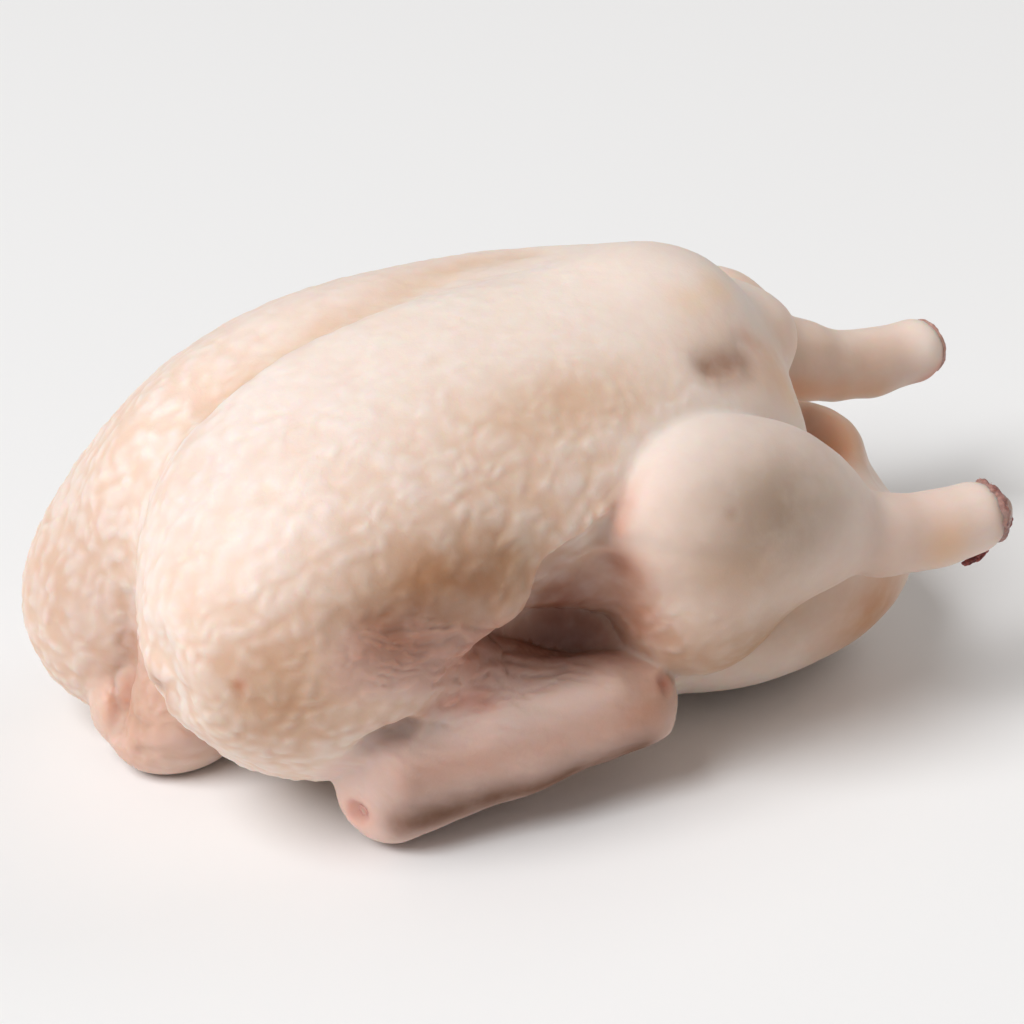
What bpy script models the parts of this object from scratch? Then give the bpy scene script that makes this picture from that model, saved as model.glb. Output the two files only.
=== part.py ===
"""A whole raw duck, plucked and dressed, lying on its back with the breast up.

The bird is one solid piece: a plump breast in two lobes with a shallow groove along
the keel, a broad back, belly and rump, a stub of neck skin, two bent wings cut off at
the wrist, and two drumsticks cut off at the hock.

Each mass of flesh is an ellipsoid and each limb a chain of tapering rounds. They are
modelled as overlapping primitives, fused with a voxel Remesh, and the fused surface is
then settled onto a smooth blend of the same masses, so that flesh runs into flesh in
soft folds. A Decimate modifier leaves the solid with few faces, and the underside is
cut flat where the bird's own weight presses it against the table.

Sizes are in millimetres. X runs from the neck to the tail, starting at the front of
the breast, Y from the bird's right side to its left, and Z up from the table.
"""
import math

import bmesh
import bpy
import numpy as np
from mathutils import Matrix, Vector

MM = 0.001

# Driving sizes of the bird.
BODY_LENGTH = 240.0      # front of the breast to the end of the rump
BODY_WIDTH = 148.0       # across the breast
BODY_HEIGHT = 122.0      # table to the top of the breast
BODY_LEAN = 7.5          # the keel leans to the bird's left by this many degrees
LEAN_HEIGHT = 50.0       # height of the line that the body leans about
SHANK_RADIUS = 10.6      # thin end of a drumstick
HOCK_RADIUS = 11.7       # knob of the cut hock
FOREARM_RADIUS = 14.2    # half the thickness of a wing's forearm
WING_SPREAD = 8.0        # the left wing lies this much further from the keel
GROOVE_WIDTH = 11.0      # half the width of the groove along the keel
GROOVE_DEPTH = 3.5       # its depth on top of the breast
GROOVE_END = 160.0       # where it fades on the belly
CLEFT_DEPTH = 6.0        # its extra depth where the lobes part at the neck
CLEFT_END = 45.0         # where that fades
REST_SPOT = (116.0, 0.0)     # centre of the flat on the back, which is the part's origin
PRESSED_FLAT = 0.4           # thickness that the flat cut takes off the underside

# How finely the surface is made.
FUSE_VOXEL = 3.0
FINAL_VOXEL = 2.0
TRIANGLES = 9600


def smooth_step(x):
    """0 well below zero, 1 well above it."""
    return 1.0 / (1.0 + np.exp(-x))


def melt(a, b, softness):
    """Distance to two shapes that flow into each other over a width of softness."""
    share = np.maximum(softness - np.abs(a - b), 0.0) / softness
    return np.minimum(a, b) - share**3 * softness / 6.0


def carve(a, b, softness):
    """Distance to shape a with shape b pressed out of it."""
    share = np.maximum(softness - np.abs(a + b), 0.0) / softness
    return np.maximum(a, -b) + share**3 * softness / 6.0


class Mass:
    """A rounded mass of flesh: an ellipsoid, a little squared where power is over 2.

    Its softness is how widely it melts into the shapes that come before it, or, for a
    hollow, how round its edge is. Its pitch turns it about Y.
    """

    def __init__(self, at, radii, softness=8.0, pitch=0.0, power=2.0):
        self.at = np.array(at, float)
        self.radii = np.array(radii, float)
        self.softness = softness
        self.turn = np.array(Matrix.Rotation(math.radians(pitch), 3, "Y"))
        self.power = power

    def distance(self, points):
        local = np.abs((points - self.at) @ self.turn) / self.radii + 1e-9
        reach = (local**self.power).sum(1) ** (1.0 / self.power)
        slope = np.linalg.norm(local ** (self.power - 1.0) / self.radii, axis=1)
        return (reach - 1.0) * reach ** (self.power - 1.0) / slope

    def primitive(self, bm):
        place = Matrix.Translation(Vector(self.at)) @ Matrix(self.turn.tolist()).to_4x4()
        size = Matrix.Diagonal((*self.radii, 1.0))
        bmesh.ops.create_uvsphere(bm, u_segments=32, v_segments=20, radius=1.0, matrix=place @ size)


class Limb:
    """A limb through its joints, each a place and the limb's radius there."""

    def __init__(self, joints, softness):
        self.joints = [(np.array(place, float), radius) for place, radius in joints]
        self.softness = softness

    def distance(self, points):
        shape = None
        for (a, r_a), (b, r_b) in zip(self.joints, self.joints[1:]):
            run = b - a
            along = np.clip((points - a) @ run / (run @ run), 0.0, 1.0)
            radius = r_a + (r_b - r_a) * along * along * (3.0 - 2.0 * along)
            bone = np.linalg.norm(points - a - along[:, None] * run, axis=1) - radius
            shape = bone if shape is None else melt(shape, bone, self.softness)
        return shape

    def primitive(self, bm):
        for place, radius in self.joints:
            bmesh.ops.create_uvsphere(
                bm, u_segments=24, v_segments=16, radius=radius, matrix=Matrix.Translation(Vector(place)))
        for (a, r_a), (b, r_b) in zip(self.joints, self.joints[1:]):
            run = Vector(b - a)
            turn = run.to_track_quat("Z", "Y").to_matrix().to_4x4()
            bmesh.ops.create_cone(
                bm, cap_ends=True, segments=24, radius1=r_a, radius2=r_b, depth=run.length,
                matrix=Matrix.Translation(Vector((a + b) / 2)) @ turn)


class Web:
    """A thin fold of skin stretched between three corners."""

    def __init__(self, a, b, c, thickness, softness):
        self.corners = [np.array(corner, float) for corner in (a, b, c)]
        self.thickness = thickness
        self.softness = softness
        normal = np.cross(self.corners[1] - self.corners[0], self.corners[2] - self.corners[0])
        self.normal = normal / np.linalg.norm(normal)

    def distance(self, points):
        height = (points - self.corners[0]) @ self.normal
        flat = points - height[:, None] * self.normal
        inside = np.ones(len(points), bool)
        edge = np.full(len(points), np.inf)
        for i, a in enumerate(self.corners):
            run = self.corners[(i + 1) % 3] - a
            inside &= (flat - a) @ np.cross(self.normal, run) > 0
            along = np.clip((flat - a) @ run / (run @ run), 0.0, 1.0)
            edge = np.minimum(edge, np.linalg.norm(flat - a - along[:, None] * run, axis=1))
        return np.hypot(height, np.where(inside, 0.0, edge)) - self.thickness / 2

    def primitive(self, bm):
        offset = self.normal * self.thickness / 2
        verts = [bm.verts.new(corner + way * offset) for corner in self.corners for way in (-1, 1)]
        bmesh.ops.convex_hull(bm, input=verts)


class Cut:
    """A flat cut across a limb: a place on it and the way that its face looks."""

    def __init__(self, at, facing, softness):
        self.at = np.array(at, float)
        self.facing = np.array(facing, float) / np.linalg.norm(facing)
        self.softness = softness

    def distance(self, points):
        return (self.at - points) @ self.facing


# The masses of the body, placed as if the keel stood upright; the whole set then leans.
CHEST = Mass((109, 0, 61), (95, BODY_WIDTH / 2, BODY_HEIGHT / 2), power=2.15)
BELLY = Mass((153, 0, 59), (57, 60, 57), softness=28)
RIGHT_LOBE = Mass((70, -39, 57), (63, 38, 45), softness=22, pitch=-8, power=1.9)
LEFT_LOBE = Mass((65, 38, 47), (58, 38, 44), softness=22, pitch=-8, power=1.9)
RUMP = Mass((BODY_LENGTH - 37, 0, 29), (45, 48, 32), softness=16)
TAIL = Mass((BODY_LENGTH - 22, 2, 41), (21, 22, 19), softness=8)
BELLY_CREST = Mass((163, -10, 96), (36, 30, 26), softness=12)
LEANING_BODY = [CHEST, BELLY, RIGHT_LOBE, LEFT_LOBE, RUMP, TAIL, BELLY_CREST]

# Masses that have settled on the table, so they don't lean with the body.
BACK = Mass((116, 2, 31), (84, 52, 34), softness=20)
RIGHT_CROP = Mass((56, -28, 42), (34, 28, 30), softness=14)
LEFT_SHOULDER = Mass((35, 36, 32), (25, 24, 26), softness=16)
SETTLED_BODY = [BACK, RIGHT_CROP, LEFT_SHOULDER]

NECK_STUB = Mass((25, 1, 21), (10, 12, 21))
NECK_SKIN = Mass((30, 8, 11), (13, 15, 12), softness=8)
NECK = [NECK_STUB, NECK_SKIN]

# Hollows: below the breast's flank, behind the breast's rear edge, and the vent.
FLANK_HOLLOW = Mass((100, -88, 41), (54, 33, 26), softness=12)
BREAST_FOLD = Limb(
    [((128, -72, 92), 4), ((120, -77, 80), 8), ((110, -82, 70), 14), ((104, -84, 60), 17)], softness=5)
VENT = Mass((217, -12, 66), (13, 15, 13), softness=8)

# Drumsticks from the knee to the cut hock, with the calf and the thigh on them.
RIGHT_CALF = Mass((159, -62, 72), (39, 25, 26), pitch=14)
RIGHT_DRUMSTICK = Limb(
    [((150, -60, 76), 20), ((184, -63, 66), 15.5), ((207, -66, 57), SHANK_RADIUS),
     ((231, -67, 55), HOCK_RADIUS)], softness=13)
RIGHT_THIGH = Mass((178, -32, 38), (46, 28, 31), softness=18)
RIGHT_HOCK = Cut((238, -67, 54), facing=(1.0, 0.1, -0.1), softness=5)
LEFT_CALF = Mass((190, 50, 69), (36, 25, 27), pitch=16)
LEFT_DRUMSTICK = Limb(
    [((184, 54, 73), 21), ((221, 47, 69), 18), ((249, 44, 56.5), SHANK_RADIUS),
     ((285, 41, 51), HOCK_RADIUS)], softness=14)
LEFT_FLANK_SKIN = Mass((200, 24, 76), (22, 20, 14), softness=18)
LEFT_THIGH = Mass((185, 36, 38), (44, 34, 34), softness=14)
RIGHT_LEG = [RIGHT_CALF, RIGHT_DRUMSTICK, RIGHT_THIGH]
LEFT_LEG = [LEFT_CALF, LEFT_DRUMSTICK, LEFT_FLANK_SKIN, LEFT_THIGH]

# Wings: upper arm, forearm back to the cut wrist, and the web of skin between them.
UPPER_ARM = Limb([((66, -56, 50), 14), ((122, -58, 30), 7.5)], softness=8)
WING_WEB = Web((72, -61, 44), (94, -64, 27), (126, -62, 31), thickness=8, softness=8)
FOREARM = Limb(
    [((64, -56.5, 15.5), FOREARM_RADIUS - 0.4), ((97, -60.5, 21.5), FOREARM_RADIUS),
     ((130, -62, 26.5), FOREARM_RADIUS)], softness=8)
ELBOW_FOLD = Mass((137, -58, 19), (8.5, 9, 10), softness=6)
WRIST = Cut((54.5, -61, 14), facing=(-0.86, -0.5, -0.1), softness=6)
ARM_AND_WEB = [UPPER_ARM, WING_WEB]
LOWER_WING = [FOREARM, ELBOW_FOLD]


def blend(shapes, points):
    """Distance to shapes that melt into one another."""
    result = shapes[0].distance(points)
    for shape in shapes[1:]:
        result = melt(result, shape.distance(points), shape.softness)
    return result


def grown(result, shapes, points):
    """Distance to the result with more shapes melted on."""
    for shape in shapes:
        result = melt(result, shape.distance(points), shape.softness)
    return result


def hollowed(result, hollow, points):
    """Distance to the result with a hollow or a cut taken from it."""
    return carve(result, hollow.distance(points), hollow.softness)


def upright(points):
    """Points as the body saw them before it leaned."""
    lean = math.radians(BODY_LEAN)
    y, z = points[:, 1], points[:, 2] - LEAN_HEIGHT
    return np.stack([points[:, 0], y * math.cos(lean) - z * math.sin(lean),
                     y * math.sin(lean) + z * math.cos(lean) + LEAN_HEIGHT], 1)


def left_side(points):
    """Points mirrored, so that the right wing's shape serves the left wing too."""
    return np.stack([points[:, 0], WING_SPREAD - points[:, 1], points[:, 2]], 1)


def body(points):
    """Breast, belly, back and rump, with the keel's groove and the hollows."""
    own = upright(points)
    shape = blend(LEANING_BODY, own)
    shape = grown(shape, SETTLED_BODY, points)
    groove = GROOVE_DEPTH * smooth_step((GROOVE_END - own[:, 0]) / 12)
    groove = groove + CLEFT_DEPTH * smooth_step((CLEFT_END - own[:, 0]) / 14)
    above_neck = smooth_step((own[:, 2] - 30) / 8)
    shape = shape + groove * above_neck * np.exp(-(own[:, 1] / GROOVE_WIDTH) ** 2)
    shape = hollowed(shape, FLANK_HOLLOW, points)
    shape = hollowed(shape, FLANK_HOLLOW, left_side(points))
    shape = hollowed(shape, BREAST_FOLD, points)
    return hollowed(shape, VENT, points)


def with_wing(shape, points):
    """The shape with a wing on it: soft at the shoulder, and a crease along the forearm."""
    at_shoulder = smooth_step((92 - points[:, 0]) / 8)
    shape = melt(shape, blend(ARM_AND_WEB, points), 5 + 11 * at_shoulder)
    at_elbow = smooth_step((points[:, 0] - 112) / 6)
    forearm = hollowed(blend(LOWER_WING, points), WRIST, points)
    return melt(shape, forearm, 3 + 5 * at_elbow)


def with_legs(shape, points):
    """The shape with both legs on it: creased at the knees, soft under the calves."""
    under_calf = smooth_step((64 - points[:, 2]) / 5) * smooth_step((points[:, 0] - 168) / 5)
    right = hollowed(blend(RIGHT_LEG, points), RIGHT_HOCK, points)
    shape = melt(shape, right, 5 + 11 * under_calf)
    at_belly = smooth_step((points[:, 2] - 74) / 6)
    return melt(shape, blend(LEFT_LEG, points), 4 + 10 * at_belly)


def duck(points):
    """Distance from points to the skin: below zero inside the flesh."""
    shape = with_wing(body(points), points)
    shape = with_wing(shape, left_side(points))
    shape = with_legs(shape, points)
    shape = melt(shape, blend(NECK, points), 5)
    return carve(shape, points[:, 2], 4)


def settle(points, steps, reach, probe=0.05):
    """Points moved along the skin's slope until they lie on the skin, at most reach a step."""
    for _ in range(steps):
        here = duck(points)
        slope = np.stack([duck(points + probe * axis) - here for axis in np.eye(3)], 1) / probe
        steepness = np.maximum((slope**2).sum(1), 0.4)
        push = np.clip(here / steepness, -reach, reach)
        points = points - slope * push[:, None]
    return points


def solid(name, shapes, matrix=None):
    """An object made of the shapes' primitives, overlapping each other."""
    bm = bmesh.new()
    for shape in shapes:
        shape.primitive(bm)
    if matrix is not None:
        bmesh.ops.transform(bm, matrix=matrix, verts=bm.verts)
        if matrix.determinant() < 0:
            bmesh.ops.reverse_faces(bm, faces=bm.faces)
    mesh = bpy.data.meshes.new(name)
    bm.to_mesh(mesh)
    bm.free()
    return bpy.data.objects.new(name, mesh)


def add_in(obj, other):
    """Another object's mesh added to this one's, and the other object taken away."""
    bm = bmesh.new()
    bm.from_mesh(obj.data)
    bm.from_mesh(other.data)
    bm.to_mesh(obj.data)
    bm.free()
    bpy.data.objects.remove(other, do_unlink=True)


def apply_modifiers(obj):
    """The object's mesh becomes the one that its modifiers make."""
    depsgraph = bpy.context.evaluated_depsgraph_get()
    mesh = bpy.data.meshes.new_from_object(obj.evaluated_get(depsgraph))
    obj.modifiers.clear()
    old, obj.data = obj.data, mesh
    bpy.data.meshes.remove(old)


def settle_mesh(mesh, steps, reach):
    coords = np.empty(len(mesh.vertices) * 3)
    mesh.vertices.foreach_get("co", coords)
    mesh.vertices.foreach_set("co", settle(coords.reshape(-1, 3), steps, reach).ravel())
    mesh.update()


def fuse(obj, voxel):
    """The object's overlapping shapes made one skin of even faces."""
    remesh = obj.modifiers.new("fuse", "REMESH")
    remesh.mode = "VOXEL"
    remesh.voxel_size = voxel
    apply_modifiers(obj)


def relax(obj, rounds):
    """Ripples in the skin smoothed out."""
    smooth = obj.modifiers.new("relax", "SMOOTH")
    smooth.factor = 0.5
    smooth.iterations = rounds
    apply_modifiers(obj)


def blend_skin(obj, voxel, steps, reach):
    """The skin made of even faces again, and settled on the blend of all the masses."""
    fuse(obj, voxel)
    settle_mesh(obj.data, steps, reach)
    relax(obj, rounds=3)
    settle_mesh(obj.data, steps=2, reach=reach / 3)


def thin_out(obj, triangles):
    """Fewer, larger triangles where the skin is smooth."""
    relax(obj, rounds=2)
    triangulate = obj.modifiers.new("triangulate", "TRIANGULATE")
    triangulate.quad_method = "BEAUTY"
    apply_modifiers(obj)
    decimate = obj.modifiers.new("thin out", "DECIMATE")
    decimate.decimate_type = "COLLAPSE"
    decimate.ratio = triangles / len(obj.data.polygons)
    decimate.use_collapse_triangulate = True
    apply_modifiers(obj)
    settle_mesh(obj.data, steps=1, reach=0.25)


def flatten_underside(mesh):
    """Cut level where the weight rests, closed with flat faces, and stood on the table."""
    bm = bmesh.new()
    bm.from_mesh(mesh)
    cut = bmesh.ops.bisect_plane(
        bm, geom=bm.verts[:] + bm.edges[:] + bm.faces[:], dist=0.02,
        plane_co=(0, 0, PRESSED_FLAT), plane_no=(0, 0, -1), clear_outer=True)
    rim = [element for element in cut["geom_cut"] if isinstance(element, bmesh.types.BMEdge)]
    bmesh.ops.holes_fill(bm, edges=rim, sides=0)
    bmesh.ops.triangulate(bm, faces=[face for face in bm.faces if len(face.verts) > 3])
    bmesh.ops.recalc_face_normals(bm, faces=bm.faces)
    bmesh.ops.translate(bm, vec=(-REST_SPOT[0], -REST_SPOT[1], -PRESSED_FLAT), verts=bm.verts)
    bmesh.ops.scale(bm, vec=(MM, MM, MM), verts=bm.verts)
    bm.to_mesh(mesh)
    bm.free()


def skin_material():
    material = bpy.data.materials.new("raw_skin")
    material.use_nodes = True
    shader = material.node_tree.nodes["Principled BSDF"]
    shader.inputs["Base Color"].default_value = (0.72, 0.52, 0.41, 1.0)
    shader.inputs["Roughness"].default_value = 0.45
    shader.inputs["Metallic"].default_value = 0.0
    return material


for old_object in list(bpy.data.objects):
    bpy.data.objects.remove(old_object, do_unlink=True)

collection = bpy.data.collections.new("raw_duck")
bpy.context.scene.collection.children.link(collection)
cutters = bpy.data.collections.new("raw_duck_cutters")
bpy.context.scene.collection.children.link(cutters)

# The body's masses fused, with the hollows cut out of it.
about = Matrix.Translation((0, 0, LEAN_HEIGHT))
lean_over = about @ Matrix.Rotation(-math.radians(BODY_LEAN), 4, "X") @ about.inverted()
to_left = Matrix.Translation((0, WING_SPREAD, 0)) @ Matrix.Diagonal((1, -1, 1, 1))
duck_object = solid("raw_duck", LEANING_BODY, lean_over)
collection.objects.link(duck_object)
add_in(duck_object, solid("settled_masses", SETTLED_BODY))
fuse(duck_object, FUSE_VOXEL)
hollows = [solid("right_flank_hollow", [FLANK_HOLLOW]), solid("left_flank_hollow", [FLANK_HOLLOW], to_left),
           solid("breast_fold", [BREAST_FOLD]), solid("vent", [VENT])]
for hollow in hollows:
    cutters.objects.link(hollow)
    hollow.display_type = "WIRE"
    hollow.hide_render = True
    fuse(hollow, FUSE_VOXEL)
    carving = duck_object.modifiers.new("carve " + hollow.name, "BOOLEAN")
    carving.operation = "DIFFERENCE"
    carving.solver = "MANIFOLD"
    carving.object = hollow
bpy.context.view_layer.update()
apply_modifiers(duck_object)

# The legs, the neck and both wings put on it, and all of it blended into one skin.
add_in(duck_object, solid("legs_and_neck", RIGHT_LEG + LEFT_LEG + NECK))
add_in(duck_object, solid("right_wing", ARM_AND_WEB + LOWER_WING))
add_in(duck_object, solid("left_wing", ARM_AND_WEB + LOWER_WING, to_left))
blend_skin(duck_object, FUSE_VOXEL, steps=5, reach=2.5)
blend_skin(duck_object, FINAL_VOXEL, steps=4, reach=1.2)
blend_skin(duck_object, FINAL_VOXEL, steps=3, reach=0.8)
thin_out(duck_object, TRIANGLES)
flatten_underside(duck_object.data)
duck_object.data.shade_smooth()
duck_object.data.materials.clear()
duck_object.data.materials.append(skin_material())
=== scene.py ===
"""The looks of a whole raw duck, plucked and dressed, lying on its back.

The CAD solid gives the bird its masses. Here its skin is made fine and soft, gets the
bumps where feathers grew, the wrinkles of the wings and the folds at the neck, and the
cut ends of the legs and wings show flesh, tendon and bone. The sizes of flesh and skin are
in millimetres, x from the neck to the tail, y from the bird's right to its left, z up from
the table, and each finished mesh is put in the frame's metres.
"""
import math

import bmesh
import bpy
import numpy as np
from mathutils import Matrix, Vector, noise


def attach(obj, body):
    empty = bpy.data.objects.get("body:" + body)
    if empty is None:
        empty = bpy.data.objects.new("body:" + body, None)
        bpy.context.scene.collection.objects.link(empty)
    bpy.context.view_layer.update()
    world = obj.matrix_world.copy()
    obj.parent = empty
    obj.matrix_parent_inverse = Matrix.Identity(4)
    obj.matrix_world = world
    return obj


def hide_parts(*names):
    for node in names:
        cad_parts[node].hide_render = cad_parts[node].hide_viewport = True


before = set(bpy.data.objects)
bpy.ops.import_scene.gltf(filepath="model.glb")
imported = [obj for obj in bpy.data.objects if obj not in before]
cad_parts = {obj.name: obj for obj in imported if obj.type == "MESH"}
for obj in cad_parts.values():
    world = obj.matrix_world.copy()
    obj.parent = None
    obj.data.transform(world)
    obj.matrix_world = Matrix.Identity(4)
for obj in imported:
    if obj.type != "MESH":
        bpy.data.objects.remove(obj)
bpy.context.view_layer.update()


# ---------------------------------------------------------------------------------------
# Flesh. Under the skin lie the breast in two lobes on the keel, the belly, back and rump,
# two bent wings and two drumsticks. Each mass is a rounded form and each limb a chain of
# tapering rounds, and they run into each other in soft folds, as flesh does at rest.

BODY_LEAN = 7.5              # the keel leans to the bird's left by this many degrees
LEAN_HEIGHT = 50.0           # height of the line that the body leans about
WING_SPREAD = 8.0            # the left wing lies this much further from the keel
GROOVE_WIDTH = 11.0          # half the width of the groove along the keel
GROOVE_DEPTH = 3.5
GROOVE_END, GROOVE_FADE = 160.0, 12.0    # where it fades on the belly, and over what length
CLEFT_DEPTH = 6.0            # its extra depth where the lobes part at the neck
CLEFT_END, CLEFT_FADE = 45.0, 14.0
NECK_TOP = 30.0              # neither reaches below this height
SHOULDER_END = 92.0          # as far back as this the upper arm is one with the breast
ELBOW_START = 112.0          # from here on the forearm is one with the upper arm
CALF_START = 168.0           # from here on the near calf lies on the thigh,
CALF_UNDERSIDE = 64.0        # below this height
BELLY_EDGE = 74.0            # above this height the belly's skin runs on over the far leg
FOLD_EDGE = 2.0              # how round the edges of the folds under the breast are


def smooth_step(x):
    """0 well below zero, 1 well above it."""
    return 1.0 / (1.0 + np.exp(-np.clip(x, -40.0, 40.0)))


def melt(a, b, softness):
    """Distance to two forms that flow into each other over a width of softness."""
    share = np.maximum(softness - np.abs(a - b), 0.0) / softness
    return np.minimum(a, b) - share**3 * softness / 6.0


def carve(a, b, softness):
    """Distance to form a with form b pressed out of it."""
    share = np.maximum(softness - np.abs(a + b), 0.0) / softness
    return np.maximum(a, -b) + share**3 * softness / 6.0


class Mass:
    """A rounded mass of flesh, or a hollow: an ellipsoid, a little squared over power 2."""

    def __init__(self, at, radii, softness=8.0, pitch=0.0, power=2.0):
        self.at = np.array(at, float)
        self.radii = np.array(radii, float)
        self.softness = softness
        self.turn = np.array(Matrix.Rotation(math.radians(pitch), 3, "Y"))
        self.power = power

    def distance(self, points):
        local = np.abs((points - self.at) @ self.turn) / self.radii + 1e-9
        reach = (local**self.power).sum(1) ** (1.0 / self.power)
        slope = np.linalg.norm(local ** (self.power - 1.0) / self.radii, axis=1)
        return (reach - 1.0) * reach ** (self.power - 1.0) / slope


class Limb:
    """A limb, a fold or a crease through its joints, each a place and a radius."""

    def __init__(self, joints, softness):
        self.joints = [(np.array(place, float), radius) for place, radius in joints]
        self.softness = softness

    def distance(self, points):
        form = None
        for (a, r_a), (b, r_b) in zip(self.joints, self.joints[1:]):
            run = b - a
            along = np.clip((points - a) @ run / (run @ run), 0.0, 1.0)
            radius = r_a + (r_b - r_a) * along * along * (3.0 - 2.0 * along)
            bone = np.linalg.norm(points - a - along[:, None] * run, axis=1) - radius
            form = bone if form is None else melt(form, bone, self.softness)
        return form


class Web:
    """A thin fold of skin stretched between three corners."""

    def __init__(self, a, b, c, thickness, softness):
        self.corners = [np.array(corner, float) for corner in (a, b, c)]
        self.thickness = thickness
        self.softness = softness
        normal = np.cross(self.corners[1] - self.corners[0], self.corners[2] - self.corners[0])
        self.normal = normal / np.linalg.norm(normal)

    def distance(self, points):
        height = (points - self.corners[0]) @ self.normal
        flat = points - height[:, None] * self.normal
        inside = np.ones(len(points), bool)
        edge = np.full(len(points), np.inf)
        for i, a in enumerate(self.corners):
            run = self.corners[(i + 1) % 3] - a
            inside &= (flat - a) @ np.cross(self.normal, run) > 0
            along = np.clip((flat - a) @ run / (run @ run), 0.0, 1.0)
            edge = np.minimum(edge, np.linalg.norm(flat - a - along[:, None] * run, axis=1))
        return np.hypot(height, np.where(inside, 0.0, edge)) - self.thickness / 2


class Cut:
    """A flat cut across a limb: a place on it and the way that its face looks."""

    def __init__(self, at, facing, softness):
        self.at = np.array(at, float)
        self.facing = np.array(facing, float) / np.linalg.norm(facing)
        self.softness = softness

    def distance(self, points):
        return (self.at - points) @ self.facing


# Masses that lean with the keel, and masses that have settled on the table.
LEANING_BODY = [
    Mass((109, 0, 61), (95, 74, 61), power=2.15),
    Mass((153, 0, 59), (57, 60, 57), softness=28),
    Mass((70, -39, 57), (63, 38, 45), softness=22, pitch=-8, power=1.9),
    Mass((65, 38, 47), (58, 38, 44), softness=22, pitch=-8, power=1.9),
    Mass((203, 0, 29), (45, 48, 32), softness=16),
    Mass((216, 0, 46), (25, 21, 20), softness=8),
    Mass((160, -9, 97), (34, 30, 26), softness=12)]
SETTLED_BODY = [
    Mass((116, 2, 31), (84, 52, 34), softness=20),
    Mass((58, -25, 42), (34, 27, 32), softness=14),
    Mass((59, -58, 55), (20, 15, 15), softness=12),
    Mass((35, 36, 32), (25, 24, 26), softness=16)]
NECK = [
    Limb([((31, 2, 66), 2), ((28.5, 0.5, 42), 6), ((29.5, 1, 18), 10.5)], softness=8),
    Mass((34, 6.5, 11), (18, 12.5, 12), softness=8),
    Mass((22, 16, 16), (8, 9, 10), softness=8)]
FLANK_HOLLOW = Mass((106, -88, 41), (48, 33, 26), softness=12)
VENT = Mass((217, -12, 66), (13, 15, 13), softness=8)
BREAST_FOLD = Limb(
    [((127, -72, 90), 3), ((120, -72, 80), 5), ((105, -73, 69.5), 9), ((104, -71, 58), 13)],
    softness=9)
POCKET = Mass((112, -74, 60), (17, 13, 17), softness=10)
WING_CREVICE = Limb(
    [((84, -64, 56), 3), ((97, -58, 50), 5), ((112, -54, 44), 6), ((124, -55, 42), 6)], softness=14)
WRIST_FOLD = Limb(
    [((46, -72, 28), 6), ((50, -72, 31), 7), ((55.5, -72, 36), 7), ((61, -72, 39.5), 6),
     ((66, -71, 41), 3)], softness=4)

# Drumsticks from the knee to the cut hock, with the calf and the thigh on them.
RIGHT_LEG = [
    Mass((159, -62, 72), (39, 25, 26), pitch=14),
    Limb([((150, -60, 76), 20), ((182, -63, 65), 15), ((203, -66, 58), 9.8),
          ((213, -66.5, 56.4), 8.8), ((222, -67, 56), 8.8), ((231.5, -67, 56.5), 9.6)], softness=8),
    Mass((178, -32, 38), (46, 28, 31), softness=18),
    Mass((151, -55, 55), (25, 27, 27), softness=12)]
RIGHT_HOCK = Cut((238.5, -67, 53), facing=(1.0, 0.1, -0.6), softness=4)
LEFT_LEG = [
    Mass((190, 50, 69), (36, 25, 27), pitch=16),
    Limb([((184, 54, 72), 20), ((220, 47, 69), 18.5), ((248, 44, 56.5), 10.8), ((260, 43, 52.6), 9),
          ((272, 42, 51.4), 8.8), ((286, 41, 52.6), 9.4)], softness=8),
    Limb([((174, -6, 96), 17), ((212, 34, 73), 17)], softness=14),
    Mass((205, 8, 86), (16, 15, 12.5), softness=16),
    Mass((185, 36, 38), (44, 34, 34), softness=14)]

# A wing: its upper arm, its forearm back to the cut wrist, and the web of skin between.
ARM_AND_WEB = [
    Limb([((66, -56, 50), 14), ((122, -58, 30), 7.5)], softness=8),
    Web((72, -61, 44), (94, -64, 27), (126, -62, 31), thickness=8, softness=8)]
LOWER_WING = [
    Limb([((64, -56.5, 15.5), 13.8), ((97, -60.5, 22.6), 13.2), ((129.5, -62, 26.5), 13.0)],
         softness=8),
    Limb([((58, -59, 26.5), 12.5), ((86, -61, 31), 12.5), ((118, -62, 29.5), 12)], softness=8),
    Mass((136, -58, 19.5), (7.5, 8.5, 9), softness=6)]
WRIST = Cut((54.5, -61, 14), facing=(-0.86, -0.5, -0.1), softness=6)


def blend(forms, points):
    """Distance to forms that melt into one another."""
    result = forms[0].distance(points)
    for form in forms[1:]:
        result = melt(result, form.distance(points), form.softness)
    return result


def hollowed(result, hollow, points):
    """Distance to the result with a hollow or a cut taken from it."""
    return carve(result, hollow.distance(points), hollow.softness)


def upright(points):
    """Points as the body saw them before it leaned."""
    lean = math.radians(BODY_LEAN)
    y, z = points[:, 1], points[:, 2] - LEAN_HEIGHT
    return np.stack([points[:, 0], y * math.cos(lean) - z * math.sin(lean),
                     y * math.sin(lean) + z * math.cos(lean) + LEAN_HEIGHT], 1)


def left_side(points):
    """Points mirrored, so that the right wing's form serves the left wing too."""
    return np.stack([points[:, 0], WING_SPREAD - points[:, 1], points[:, 2]], 1)


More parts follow.
